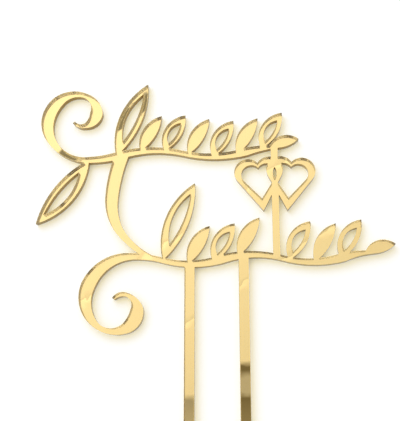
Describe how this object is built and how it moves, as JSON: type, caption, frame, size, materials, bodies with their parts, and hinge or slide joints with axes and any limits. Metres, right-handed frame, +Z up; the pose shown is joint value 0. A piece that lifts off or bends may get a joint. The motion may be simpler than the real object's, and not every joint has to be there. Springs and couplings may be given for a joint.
{
  "type": "cake topper",
  "caption": "Flat gold mirror acrylic cake topper: leafy vines joined by a bold stem and linked hearts, on pointed stakes that push into a cake.",
  "frame": {"origin": "in the plane of the cake's top, midway between the stakes and half way through the sheet's thickness", "axes": "+X to the right as seen from the front, -Y out of the mirror front, +Z up, out of the cake"},
  "size_m": [0.1514, 0.003, 0.1644],
  "materials": {
    "gold_acrylic": "polished",
    "mirror_film": "polished",
    "back_paint": "satin"
  },
  "bodies": {
    "root": {"acrylic_sheet": "gold_acrylic", "mirror_coat": "mirror_film", "back_coat": "back_paint"}
  },
  "joints": []
}
